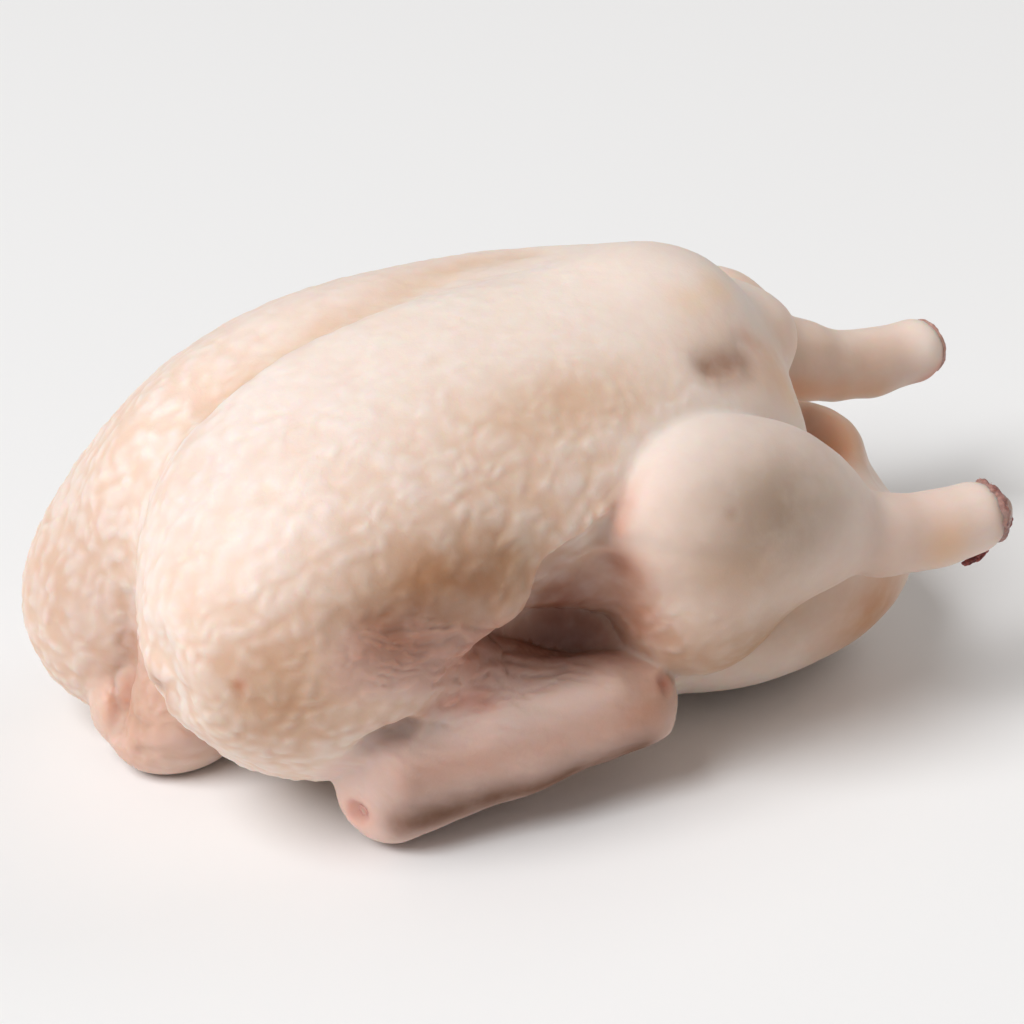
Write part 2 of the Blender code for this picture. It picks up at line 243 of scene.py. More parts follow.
def body(points):
    """Breast, belly, back and rump, with the keel's groove and the hollows."""
    own = upright(points)
    form = blend(LEANING_BODY, own)
    for mass in SETTLED_BODY:
        form = melt(form, mass.distance(points), mass.softness)
    x, y, z = own.T
    groove = GROOVE_DEPTH * smooth_step((GROOVE_END - x) / GROOVE_FADE)
    groove = groove + CLEFT_DEPTH * smooth_step((CLEFT_END - x) / CLEFT_FADE)
    above_neck = smooth_step((z - NECK_TOP) / 8)
    form = form + groove * above_neck * np.exp(-(y / GROOVE_WIDTH) ** 2)
    form = hollowed(form, FLANK_HOLLOW, points)
    form = hollowed(form, FLANK_HOLLOW, left_side(points))
    form = hollowed(form, POCKET, points)
    form = hollowed(form, WING_CREVICE, points)
    for fold in (WRIST_FOLD, BREAST_FOLD):
        form = carve(form, fold.distance(points), FOLD_EDGE)
    return hollowed(form, VENT, points)


def with_wing(form, points):
    """The form with a wing on it: soft at the shoulder, and a crease along the forearm."""
    at_shoulder = smooth_step((SHOULDER_END - points[:, 0]) / 8)
    form = melt(form, blend(ARM_AND_WEB, points), 5 + 11 * at_shoulder)
    at_elbow = smooth_step((points[:, 0] - ELBOW_START) / 6)
    forearm = hollowed(blend(LOWER_WING, points), WRIST, points)
    return melt(form, forearm, 3 + 5 * at_elbow)


def with_legs(form, points):
    """The form with both legs on it: creased at the knees, soft under the calves."""
    x, _, z = points.T
    under_calf = smooth_step((CALF_UNDERSIDE - z) / 5) * smooth_step((x - CALF_START) / 5)
    right = hollowed(blend(RIGHT_LEG, points), RIGHT_HOCK, points)
    form = melt(form, right, 3 + 13 * under_calf)
    at_belly = smooth_step((z - BELLY_EDGE) / 6)
    return melt(form, blend(LEFT_LEG, points), 4 + 20 * at_belly)


# ---------------------------------------------------------------------------------------
# Skin. One soft, thick sheet over all the flesh, tight over the breast and loose at the
# neck and the wings. It is the solid's own surface, made of even faces under a millimetre
# across, laid on the flesh and pressed into its finer folds.

FIRST_STEP = 1.6             # size of the skin's faces while it still sinks into the deep folds
SKIN_STEP = 0.95             # and once it is laid
REST_SPOT = (116.0, 0.0)     # centre of the flat under the back, which is the frame's origin
PRESSED_FLAT = 0.4           # how far the bird's weight has pressed its underside in
TABLE_ROUNDING = 4.0         # how round the skin's edge is where it leaves the table
SKIN_TRIANGLES = 190000


def nearest_on(line, points):
    """The squared distance from each point to a line through some places, or to one place."""
    nearest = ((points - line[0]) ** 2).sum(1)
    for a, b in zip(line, line[1:]):
        run = b - a
        along = np.clip((points - a) @ run / (run @ run), 0.0, 1.0)
        nearest = np.minimum(nearest, ((points - a - along[:, None] * run) ** 2).sum(1))
    return nearest


class Crease:
    """A line along the skin, sunk in by its depth, or standing up where that is negative."""

    def __init__(self, line, width, depth):
        self.line = np.array(line, float)
        self.width = width
        self.depth = depth

    def sink(self, points):
        """How much further the skin is than before, for each point."""
        margin = 2.6 * self.width
        low, high = self.line.min(0) - margin, self.line.max(0) + margin
        close = ((points > low) & (points < high)).all(1)
        result = np.zeros(len(points))
        result[close] = self.depth * np.exp(-nearest_on(self.line, points[close]) / self.width**2)
        return result


# The gap that shows between the breast and the forearm, by the wrist.
WRIST_GAP = Limb([((56, -66, 43), 2.5), ((65, -65, 44), 2.5)], softness=1.5)

# Creases of the skin and, with a negative depth, its small ridges and knobs. Each wing has:
# the fold under the breast, the pit and the rim of the cut wrist, the forearm's groove and
# top ridge, and the elbow's knob, pit and lower lobe.
WING_CREASES = [
    Crease([(45, -71, 71), (54, -74, 74), (66, -76, 73), (80, -76, 69)], 5.0, 1.5),
    Crease([(53.6, -58.8, 12.6), (53.7, -58.5, 12.8)], 3.0, 2.2),
    Crease([(55.7, -62.6, 12.8), (55, -60.5, 16.4), (53.3, -57, 17), (51.9, -54.6, 13.4),
            (52.4, -55.5, 9.6), (54.4, -59.5, 8.2), (55.7, -62.6, 12.8)], 1.7, -0.55),
    Crease([(66, -73, 25), (96, -76, 27), (120, -76.5, 30)], 5.0, 1.0),
    Crease([(62, -68, 36), (90, -71, 40), (122, -72, 38)], 3.2, -0.7),
    Crease([(134, -70.5, 36), (134.5, -71, 34)], 3.6, -1.6),
    Crease([(134.5, -72, 35.5), (134.5, -72.5, 33)], 1.7, 1.8),
    Crease([(132, -73, 22), (137, -70, 20)], 3.2, -1.0)]
KEEL_GROOVE = [
    Crease([(146, 23, 117), (124, 22, 118.4), (110, 15, 118), (95, 8.5, 117.5), (80, 5, 116),
            (67, 6, 112), (56, 5, 107.3), (46, 5, 101)], 6.5, 2.1)]
NECK_CREASES = [
    Crease([(21, 5, 52), (21, 7.7, 38), (21, 10.2, 26), (16, 5.7, 15)], 3, 2.4),
    Crease([(15.9, 10, 18.6), (16.5, 10, 20.5)], 3.6, -1.6),
    Crease([(11.4, -33.8, 46.6), (12, -33, 45)], 2.6, 2.6),
    Crease([(12, -37, 46), (12.8, -37, 42)], 1.6, -0.9),
    Crease([(13, -31, 44), (17, -24, 34), (21, -17, 27)], 2.2, 1.2),
    Crease([(18.8, -1.1, 19.5), (18.8, -1.1, 17.5)], 2.0, 1.1),
    Crease([(20.4, -4.3, 19.5), (20.2, -4.3, 17.5)], 1.8, 0.9),
    Crease([(19.5, -8, 14), (20, -2, 11.5), (21, 3, 11)], 2.0, 0.8),
    Crease([(8, -39, 59), (8.5, -43, 51)], 8, 6),
    Crease([(12, -44, 43), (24, -42, 28)], 8, 1.5)]
TAIL_HOLLOW = [
    Crease([(236, -24, 47), (239, -14, 45)], 9, 4)]
LEG_CREASES = [
    Crease([(124, -72, 77), (132, -78, 75), (142, -83, 73), (152, -86, 71)], 3.4, 0.8),
    Crease([(119, -68, 84), (122, -71, 79)], 3.2, -1.0),
    Crease([(146, -84, 85), (146.5, -84, 85)], 1.6, 0.5)]
BELLY_DIMPLE = [
    Crease([(164, -42, 104.5), (171, -40.5, 103.5), (178, -38.5, 102.5)], 6.0, 1.2),
    Crease([(164, -46, 102), (170, -44, 100.5), (176, -41, 100.5)], 2.0, -0.45),
    Crease([(180, -33, 106), (185, -31, 103), (188, -29, 100)], 2.4, 0.7)]


def skin(points):
    """Distance from points to the skin: below zero inside the flesh."""
    form = with_wing(body(points), points)
    form = with_wing(form, left_side(points))
    form = with_legs(form, points)
    form = melt(form, blend(NECK, points), 5)
    form = hollowed(form, WRIST_GAP, points)
    creases = KEEL_GROOVE + NECK_CREASES + TAIL_HOLLOW + LEG_CREASES + BELLY_DIMPLE
    for crease in creases + WING_CREASES:
        form = form + crease.sink(points)
    for crease in WING_CREASES:
        form = form + crease.sink(left_side(points))
    return carve(form, points[:, 2], TABLE_ROUNDING)


def settle(points, steps, reach, probe=0.05):
    """Points moved along the skin's slope until they lie on the skin, at most reach a step."""
    for _ in range(steps):
        here = skin(points)
        slope = np.stack([skin(points + probe * axis) - here for axis in np.eye(3)], 1) / probe
        steepness = np.maximum((slope**2).sum(1), 0.4)
        push = np.clip(here / steepness, -reach, reach)
        points = points - slope * push[:, None]
    return points


def places(mesh):
    """Where a mesh's vertices are, one row each."""
    coords = np.empty(len(mesh.vertices) * 3)
    mesh.vertices.foreach_get("co", coords)
    return coords.reshape(-1, 3)


def put(mesh, points):
    mesh.vertices.foreach_set("co", np.asarray(points, float).ravel())
    mesh.update()


def keep_result(obj):
    """The object's mesh becomes the one that its modifiers make, and they are removed."""
    depsgraph = bpy.context.evaluated_depsgraph_get()
    mesh = bpy.data.meshes.new_from_object(obj.evaluated_get(depsgraph))
    obj.modifiers.clear()
    old, obj.data = obj.data, mesh
    bpy.data.meshes.remove(old)


def into_frame(mesh):
    """A mesh moved from millimetres on the table to the frame's metres."""
    points = places(mesh) - (REST_SPOT[0], REST_SPOT[1], PRESSED_FLAT)
    points[:, 2] = np.maximum(points[:, 2], 0.0)
    put(mesh, points * 0.001)


def new_object(name, data):
    """A new object with this data, in the scene."""
    obj = bpy.data.objects.new(name, data)
    bpy.context.scene.collection.objects.link(obj)
    return obj


duck_skin = new_object("duck_skin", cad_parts["raw_duck"].data.copy())
duck_skin.data.materials.clear()
bm = bmesh.new()
bm.from_mesh(duck_skin.data)
bmesh.ops.remove_doubles(bm, verts=bm.verts, dist=1e-6)
bm.to_mesh(duck_skin.data)
bm.free()
put(duck_skin.data, places(duck_skin.data) * 1000.0 + (REST_SPOT[0], REST_SPOT[1], PRESSED_FLAT))

for size, steps, reach in ((FIRST_STEP, 7, 2.0), (SKIN_STEP, 3, 0.8)):
    even_faces = duck_skin.modifiers.new("even faces", "REMESH")
    even_faces.mode = "VOXEL"
    even_faces.voxel_size = size
    keep_result(duck_skin)
    put(duck_skin.data, settle(places(duck_skin.data), steps, reach))
    relax = duck_skin.modifiers.new("relax", "SMOOTH")
    relax.factor = 0.5
    relax.iterations = 2
    keep_result(duck_skin)
    put(duck_skin.data, settle(places(duck_skin.data), steps=1, reach=0.5))


# ---------------------------------------------------------------------------------------
# Feather bumps and wrinkles. Where feathers were pulled, each follicle leaves a soft bump,
# a few millimetres from the next, strongest on the breast's flank. The web of the wing is
# loose, so it gathers in fine lengthwise wrinkles.

class Socket:
    """An output of a node. Arithmetic on it adds Math nodes to its tree."""

    def __init__(self, recipe, socket):
        self.recipe = recipe
        self.socket = socket

    def math(self, operation, *values):
        return self.recipe.node("ShaderNodeMath", {"operation": operation}, list(values))

    def __add__(self, other):
        return self.math("ADD", self, other)

    def __sub__(self, other):
        return self.math("SUBTRACT", self, other)

    def __rsub__(self, other):
        return self.math("SUBTRACT", other, self)

    def __mul__(self, other):
        return self.math("MULTIPLY", self, other)

    def __pow__(self, other):
        return self.math("POWER", self, other)

    def __rpow__(self, other):
        return self.math("POWER", other, self)

    def __neg__(self):
        return self.math("MULTIPLY", self, -1.0)

    __radd__ = __add__
    __rmul__ = __mul__

    def exp(self):
        return self.math("EXPONENT", self)

    def clamped(self):
        return self.math("MINIMUM", self.math("MAXIMUM", self, 0.0), 1.0)

    def eased(self, low, high):
        """0 at low, 1 at high, with soft ends."""
        return self.recipe.node(
            "ShaderNodeMapRange", {"interpolation_type": "SMOOTHSTEP"}, [self, low, high, 0.0, 1.0])


class Recipe:
    """A node tree as it is written: node() adds a node and gives one of its outputs."""

    def __init__(self, tree):
        self.tree = tree

    @staticmethod
    def find(sockets, key):
        if isinstance(key, int):
            return sockets[key]
        by_identifier = [socket for socket in sockets if socket.identifier == key]
        by_name = [socket for socket in sockets if socket.name == key and socket.enabled]
        return (by_identifier + by_name)[0]

    def fill(self, node, inputs):
        """Each of these inputs is linked to the Socket, or else set to the value, given for it."""
        pairs = inputs.items() if isinstance(inputs, dict) else enumerate(inputs)
        for key, value in pairs:
            socket = self.find(node.inputs, key)
            if isinstance(value, Socket):
                self.tree.links.new(value.socket, socket)
            else:
                socket.default_value = value

    def node(self, kind, settings=None, inputs=None, out=None):
        node = self.tree.nodes.new(kind)
        for name, value in (settings or {}).items():
            setattr(node, name, value)
        self.fill(node, inputs or [])
        enabled = [socket for socket in node.outputs if socket.enabled]
        return Socket(self, enabled[0] if out is None else self.find(node.outputs, out))

    def vector(self, operation, *values):
        return self.node("ShaderNodeVectorMath", {"operation": operation}, list(values))

    def noise(self, at, scale, detail=2.0, roughness=0.5, out=None):
        return self.node("ShaderNodeTexNoise", inputs={
            "Vector": at, "Scale": scale, "Detail": detail, "Roughness": roughness}, out=out)


SHAPE, MATERIAL = "NodeSocketGeometry", "NodeSocketMaterial"
NUMBER, WHOLE = "NodeSocketFloat", "NodeSocketInt"


def geometry_recipe(name, inputs):
    """A Geometry Nodes tree with named inputs, and those inputs as sockets."""
    tree = bpy.data.node_groups.new(name, "GeometryNodeTree")
    tree.interface.new_socket("Geometry", in_out="INPUT", socket_type=SHAPE)
    slots = {label: tree.interface.new_socket(label, in_out="INPUT", socket_type=kind).identifier
             for label, kind in inputs.items()}
    tree.interface.new_socket("Geometry", in_out="OUTPUT", socket_type=SHAPE)
    recipe = Recipe(tree)
    entry = tree.nodes.new("NodeGroupInput")
    given = {socket.name: Socket(recipe, socket) for socket in entry.outputs if socket.name}
    return recipe, given, slots


def leave(recipe, geometry, material):
    """The tree's end: real faces, all in one material."""
    real = recipe.node("GeometryNodeRealizeInstances", inputs=[geometry])
    painted = recipe.node(
        "GeometryNodeSetMaterial", inputs={"Geometry": real, "Material": material})
    exit_node = recipe.tree.nodes.new("NodeGroupOutput")
    recipe.tree.links.new(painted.socket, exit_node.inputs[0])


def run_tree(recipe, slots, obj, values):
    """An object's mesh becomes what the tree makes of it with these values."""
    modifier = obj.modifiers.new(recipe.tree.name, "NODES")
    modifier.node_group = recipe.tree
    for label, value in values.items():
        modifier[slots[label]] = value
    keep_result(obj)


def new_finish(name):
    """A new material, its nodes as a recipe, and the shader that they lead to."""
    material = bpy.data.materials.new(name)
    material.use_nodes = True
    return material, Recipe(material.node_tree), material.node_tree.nodes["Principled BSDF"]


skin_finish, paint, skin_shader = new_finish("raw_skin_moist")
relief, given, relief_slots = geometry_recipe("skin_relief", {
    "Bump spacing": NUMBER, "Bump height": NUMBER, "Swell": NUMBER, "Wrinkle spacing": NUMBER,
    "Wrinkle depth": NUMBER, "Seed": WHOLE, "Finish": MATERIAL})
bumpy = relief.node("GeometryNodeInputNamedAttribute", {"data_type": "FLOAT"}, {"Name": "bumpy"})
loose = relief.node("GeometryNodeInputNamedAttribute", {"data_type": "FLOAT"}, {"Name": "loose"})
place = relief.node("GeometryNodeInputPosition")
seeded = relief.vector("ADD", place, relief.node(
    "ShaderNodeCombineXYZ", inputs=[given["Seed"] * 31.0, given["Seed"] * 17.0, 0.0]))
wander = relief.noise(seeded, 0.09, 1.0, out="Color")
bent = relief.vector("MULTIPLY_ADD", wander, (7.0, 7.0, 7.0), seeded)

# The bumps stand in rough rows down the flank, a little longer than they are wide.
rows = relief.node(
    "ShaderNodeVectorRotate", {"rotation_type": "Y_AXIS"}, {"Vector": bent, "Angle": 0.62})
rows = relief.vector("MULTIPLY", rows, (0.74, 1.0, 1.08))
per_bump = given["Bump spacing"] ** -1.0
lumps = relief.noise(rows, per_bump * 1.15, 0.6, 0.4)
reach = relief.node(
    "ShaderNodeTexVoronoi", {"feature": "SMOOTH_F1"},
    {"Vector": rows, "Scale": per_bump, "Smoothness": 0.6, "Randomness": 0.9}, out="Distance")
pebble = (lumps - 0.5) - (reach - 0.4) * 1.5
uneven = relief.noise(seeded, 0.16)
swelling = relief.noise(seeded, 0.06)

# The wrinkles are noise drawn out along the wing, with a furrow where it crosses its middle.
stretched = relief.node(
    "ShaderNodeVectorRotate", {"rotation_type": "Y_AXIS"}, {"Vector": bent, "Angle": -0.3})
stretched = relief.vector("MULTIPLY", stretched, (0.12, 1.0, 1.0))
gather = relief.noise(stretched, given["Wrinkle spacing"] ** -1.0 * 0.55, 2.5, 0.55)
furrow = (-((gather - 0.5) * (gather - 0.5)) * 260.0).exp()

bump_rise = pebble * bumpy * given["Bump height"] * (uneven * 1.6 + 0.2)
wrinkle_rise = (0.25 - furrow) * loose * given["Wrinkle depth"]
swell_rise = (swelling - 0.5) * 2.0 * given["Swell"]
off_table = relief.node("ShaderNodeSeparateXYZ", inputs=[place], out="Z").eased(1.0, 7.0)
rise = (bump_rise + wrinkle_rise + swell_rise) * off_table
outwards = relief.node("ShaderNodeVectorMath", {"operation": "SCALE"}, {
    "Vector": relief.node("GeometryNodeInputNormal"), "Scale": rise})
moved = relief.node(
    "GeometryNodeSetPosition", inputs={"Geometry": given["Geometry"], "Offset": outwards})
leave(relief, moved, given["Finish"])


def lies_on(forms, points, within=2.0, edge=1.0):
    """1 where skin lies on those forms, 0 away from them."""
    return smooth_step((within - blend(forms, points)) / edge)


def near(points, at, radii):
    """1 at a place, fading over the radii."""
    return np.exp(-(((points - np.array(at, float)) / np.array(radii, float)) ** 2).sum(1))


# Where the upper arm lies under the breast's edge, its skin smooth and loose.
OVER_ARM = np.array([(49, -71, 62), (62, -76, 62), (80, -76, 56)], float)


def save_mask(mesh, name, values):
    mask = mesh.attributes.get(name) or mesh.attributes.new(name, "FLOAT", "POINT")
    mask.data.foreach_set("value", np.clip(values, 0.0, 1.0).astype(np.float32))


def on_either(forms, points):
    """1 where skin lies on those forms of either wing."""
    return np.maximum(lies_on(forms, points), lies_on(forms, left_side(points)))


def masks_of(points):
    """How bumpy, how loose and on which limb each part of the skin is, from 0 to 1."""
    over_arm = sum(smooth_step((9.5 - np.sqrt(nearest_on(OVER_ARM, side))) / 1.2)
                   for side in (points, left_side(points)))
    on_wing = np.maximum(on_either(ARM_AND_WEB + LOWER_WING, points), 0.9 * over_arm)
    on_web = np.maximum(on_either(ARM_AND_WEB, points), over_arm)
    on_leg = np.maximum(lies_on(RIGHT_LEG[:2], points), lies_on(LEFT_LEG[:2], points))
    on_neck = lies_on(NECK, points)
    x, _, z = points.T
    breast = smooth_step((150 - x) / 9) * (1 - on_wing) * (1 - on_leg) * (1 - on_neck)
    flank = smooth_step((108 - z) / 7)
    bright_side = near(points, (34, -34, 84), (30, 30, 24))
    return {
        "bumpy": breast * (0.28 + 0.72 * flank) * (1 - 0.45 * bright_side)
                 + 0.15 * (1 - on_wing) * (1 - breast) * (1 - on_neck) + 0.4 * on_neck,
        "loose": on_web * smooth_step((x - 50) / 4) * smooth_step((124 - x) / 5)
                 + 0.3 * on_wing + 0.5 * on_neck,
        "on_wing": on_wing, "on_leg": on_leg, "on_neck": on_neck}


# Where the skin's colour differs from cream: its own tones, and painted shade and painted light
# where the light falls weaker or stronger. Each is a place or a line of places, how far it reaches
# along x, y and z, and the share of red, green and blue that is left there. A share over 1 is paler
# than the skin round it.
TONES_AND_SHADE = [
    # the breast and the belly, and the groove between the lobes
    # painted light: paler, cooler cream on the tops of the breast and belly, where the light is
    # strongest
    ([(35, -20, 100)], (42, 42, 30), (1.0, 1.05, 1.10)),
    ([(112, -15, 119)], (60, 30, 13), (1.05, 1.09, 1.11)),
    ([(12, 22, 50)], (30, 26, 26), (0.81, 0.75, 0.72)),
    # painted shade under the breast's lower edge and in the fold there; the lower flank's tan is
    # partly its own tone, partly painted shade
    ([(27, -66, 55)], (24, 16, 20), (0.68, 0.53, 0.41)),
    ([(50, -72, 73), (64, -75.5, 73)], (5, 5, 3.5), (0.84, 0.72, 0.64)),
    ([(66, -72, 80)], (26, 12, 14), (0.55, 0.38, 0.25)),
    ([(88, -73, 78)], (16, 9, 12), (0.64, 0.51, 0.38)),
    # painted shade on the near side of the flank and belly, which turns away from the light
    ([(104, -50, 108), (135, -47, 105)], (15, 9, 7), (0.92, 0.84, 0.75)),
    ([(96, -58, 97), (122, -48, 106)], (22, 12, 14), (0.91, 0.86, 0.81)),
    # painted shade along the keel's groove
    ([(146, 23, 117), (124, 22, 118.4), (95, 8.5, 117.5), (67, 6, 112), (46, 5, 101)],
     (6, 6, 8), (0.93, 0.83, 0.73)),
    ([(21, -61, 58)], (1.9, 2.2, 2.2), (0.86, 0.58, 0.48)),
    # the dimple on the belly, and the edges beside it
    ([(168, -34, 109)], (14, 12, 8), (0.94, 0.86, 0.80)),
    # painted shade in the belly's dimple
    ([(164, -43, 104.5), (178, -38.5, 102.5)], (6, 6, 4.4), (0.42, 0.25, 0.16)),
    ([(182, -38, 97)], (14, 8, 6), (0.90, 0.76, 0.66)),
    ([(206, -2, 88), (190, -26, 96)], (9, 9, 7), (0.92, 0.74, 0.62)),
    ([(194, -34, 88)], (12, 8, 8), (1.0, 0.84, 0.66)),
    ([(179, -21, 116)], (6, 6, 5), (0.98, 0.88, 0.76)),
    ([(168, -26, 116)], (7, 4, 5), (0.99, 0.92, 0.82)),
    ([(184, -31, 104)], (3, 3, 6), (0.95, 0.78, 0.70)),
    # the near drumstick, with its knee, calf and hock
    # painted light on the knee's top, and painted shade along the breast's fold and in the knee's
    # crease
    ([(146, -62, 99)], (15, 14, 9), (1.05, 1.11, 1.15)),
    ([(127, -68, 95), (121, -70, 80)], (3, 3, 3), (0.86, 0.66, 0.60)),
    ([(128, -68, 68), (132, -68, 50)], (7, 8, 8), (0.84, 0.58, 0.48)),
    ([(146, -84.5, 85)], (1.6, 1.6, 1.6), (0.75, 0.58, 0.50)),
    # painted shade on the calf's near side and where it turns under
    ([(160, -83, 84)], (24, 24, 16), (0.50, 0.45, 0.39)),
    ([(148, -85, 69)], (24, 10, 11), (0.78, 0.69, 0.60)),
    ([(205, -70, 60)], (22, 12, 12), (0.88, 0.82, 0.79)),
    ([(217, -76, 56)], (7, 4, 6), (1.0, 0.86, 0.68)),
    ([(239, -70, 59)], (4.5, 12, 9), (0.66, 0.42, 0.36)),
    ([(239, -73, 59)], (4, 5, 5), (0.62, 0.44, 0.34)),
    # the far drumstick
    # painted shade: warm orange on the far thigh's shaded inner side
    ([(222, 24, 78)], (22, 24, 16), (1.06, 0.84, 0.65)),
    ([(236, 33, 50)], (12, 12, 9), (1.0, 0.90, 0.84)),
    ([(240, 32, 52), (268, 33, 46)], (7, 7, 6), (1.0, 0.80, 0.64)),
    ([(240, 32, 66), (270, 34, 56)], (12, 12, 9), (0.78, 0.71, 0.65)),
    ([(296, 40, 56), (293, 33, 50), (285, 36, 43.5)], (3.5, 5, 3.6), (0.74, 0.42, 0.34)),
    ([(286, 36, 56)], (4, 5, 3.5), (1.05, 1.15, 1.2)),
    # the rump and the tail
    # painted shade on the rump's lower side by the table, in the vent and under the tail
    ([(165, -70, 42)], (36, 20, 18), (0.43, 0.26, 0.12)),
    ([(212, -50, 26)], (22, 20, 18), (0.68, 0.42, 0.25)),
    ([(217, -12, 58)], (9, 11, 9), (0.82, 0.52, 0.43)),
    ([(226, -10, 57)], (16, 18, 14), (0.76, 0.54, 0.38)),
    # the neck flap, and the wing's front end
    ([(22, 2, 22)], (12, 16, 18), (0.75, 0.61, 0.52)),
    ([(11, -34, 46)], (4, 5, 5), (0.59, 0.39, 0.31)),
    # painted shade along the neck's crease
    ([(22, 7, 40), (20, 8, 22)], (3, 3, 3), (0.86, 0.70, 0.64)),
    ([(60, -69, 24)], (10, 6, 8), (0.85, 0.83, 0.81))]

# The same on both wings: the hollow behind the breast, the web, the wrist, the forearm and the
# elbow. The hollow, the crevice, the web, the folds and the gap by the wrist, and the forearm's
# underside and front, are darkened with painted shade. The forearm's top is paled with painted
# light. The wrist and the elbow keep their own colours.
WING_TONES_AND_SHADE = [
    # painted shade in the hollow behind the breast, the crevice, the fold, the web and the gap by
    # the wrist
    ([(112, -60, 57)], (17, 14, 16), (0.35, 0.17, 0.12)),
    ([(90, -60, 52), (122, -55, 43)], (9, 9, 9), (0.45, 0.33, 0.28)),
    ([(122, -68, 71)], (6, 5, 5), (0.62, 0.45, 0.38)),
    ([(80, -70, 56)], (26, 10, 14), (0.60, 0.37, 0.29)),
    ([(57, -75, 67)], (14, 8, 9), (0.57, 0.42, 0.34)),
    ([(64, -70, 46), (84, -70, 42)], (3, 3, 3), (0.92, 0.70, 0.64)),
    ([(60, -64, 42)], (9, 9, 6), (0.22, 0.13, 0.10)),
    ([(119, -52, 45)], (14, 11, 9), (0.46, 0.23, 0.15)),
    ([(96, -48, 48), (126, -46, 44)], (10, 13, 12), (0.98, 0.68, 0.44)),
    # painted shade under the forearm and on its front, painted light on its top
    ([(60, -71, 12), (128, -72, 17)], (6, 7, 7), (0.23, 0.13, 0.07)),
    ([(64, -73, 26), (126, -75, 29)], (8, 8, 6), (0.88, 0.73, 0.65)),
    ([(75, -68, 40), (118, -70, 38)], (6, 6, 5), (1.22, 1.32, 1.36)),
    ([(53.6, -58.8, 12.6)], (5, 7, 7), (1.08, 1.05, 1.02)),
    ([(53.6, -58.8, 12.6)], (3.4, 3.6, 3.6), (0.80, 0.46, 0.38)),
    ([(134.5, -72.3, 34.5)], (2.2, 2.2, 2.4), (0.78, 0.40, 0.32)),
    ([(130, -72, 31)], (9, 8, 9), (0.82, 0.72, 0.64))]


def tint_of(points):
    """The share of each colour that is left at each point, alpha 1."""
    tint = np.ones((len(points), 4))
    patches = [(points, patch) for patch in TONES_AND_SHADE + WING_TONES_AND_SHADE]
    patches += [(left_side(points), patch) for patch in WING_TONES_AND_SHADE]
    for own, (line, radii, share) in patches:
        nearest = nearest_on(np.array(line, float) / radii, own / radii)
        tint[:, :3] *= 1.0 - np.exp(-nearest)[:, None] * (1.0 - np.array(share))
    return tint


for name, values in masks_of(places(duck_skin.data)).items():
    save_mask(duck_skin.data, name, values)
run_tree(relief, relief_slots, duck_skin, {
    "Bump spacing": 4.0, "Bump height": 0.56, "Swell": 0.3, "Wrinkle spacing": 2.8,
    "Wrinkle depth": 0.75, "Seed": 3, "Finish": skin_finish})

triangles = duck_skin.modifiers.new("triangles", "TRIANGULATE")
triangles.quad_method = "BEAUTY"
keep_result(duck_skin)
thin = duck_skin.modifiers.new("fewer faces", "DECIMATE")
thin.ratio = min(1.0, SKIN_TRIANGLES / len(duck_skin.data.polygons))
thin.use_collapse_triangulate = True
keep_result(duck_skin)

# The relief is where each point stands against the smooth skin, 0.8 mm below to 0.8 above.
laid = places(duck_skin.data)
for name, values in masks_of(laid).items():
    save_mask(duck_skin.data, name, values)
save_mask(duck_skin.data, "relief", 0.5 + skin(laid) / 1.6)
# The skin's own tones together with painted shade and painted light, kept on each point.
tone_and_shade = duck_skin.data.attributes.new("tone_and_shade", "FLOAT_COLOR", "POINT")
tone_and_shade.data.foreach_set("color", tint_of(laid).astype(np.float32).ravel())
into_frame(duck_skin.data)
duck_skin.data.shade_smooth()
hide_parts("raw_duck")
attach(duck_skin, "root")


# ---------------------------------------------------------------------------------------
# The skin's finish. Raw duck skin is cream over its fat, orange in the valleys between the bumps,
# where that colour is deepened as painted shade too, rosy where it is thin over muscle, and moist,
# so light sinks into it and comes back warm. The skin's own tones with painted shade and painted
# light are multiplied in.

def mixed(recipe, factor, a, b, way="MIX"):
    """Two colours mixed, b over a by the factor."""
    return recipe.node("ShaderNodeMix", {"data_type": "RGBA", "blend_type": way},
                       {"Factor_Float": factor, "A_Color": a, "B_Color": b}, out="Result_Color")


def mask_of(recipe, name):
    return recipe.node("ShaderNodeAttribute", {"attribute_name": name}, out="Fac")


CREAM = (0.82, 0.69, 0.61, 1)
PALE_PINK = (0.78, 0.60, 0.52, 1)
VALLEY = (0.74, 0.49, 0.34, 1)
ROSY = (0.72, 0.50, 0.44, 1)
spot = paint.node("ShaderNodeTexCoord", out="Object")
valley = 1.0 - mask_of(paint, "relief").eased(0.3, 0.64)
mottle = paint.noise(spot, 75.0, 3.0, 0.55)
fine = paint.noise(spot, 420.0, 3.0, 0.6)
tone_and_shade_tint = paint.node("ShaderNodeAttribute", {"attribute_name": "tone_and_shade"}, out="Color")
colour = mixed(paint, mottle.eased(0.35, 0.75) * 0.35, CREAM, PALE_PINK)
for mask, share in (("on_wing", 0.75), ("on_neck", 0.6), ("on_leg", 0.1)):
    colour = mixed(paint, (mask_of(paint, mask) * share).clamped(), colour, ROSY)
# orange in the valleys between the bumps: the skin's own tone, deepened there as painted shade
colour = mixed(paint, (valley * mask_of(paint, "bumpy") * 0.65).clamped(), colour, VALLEY)
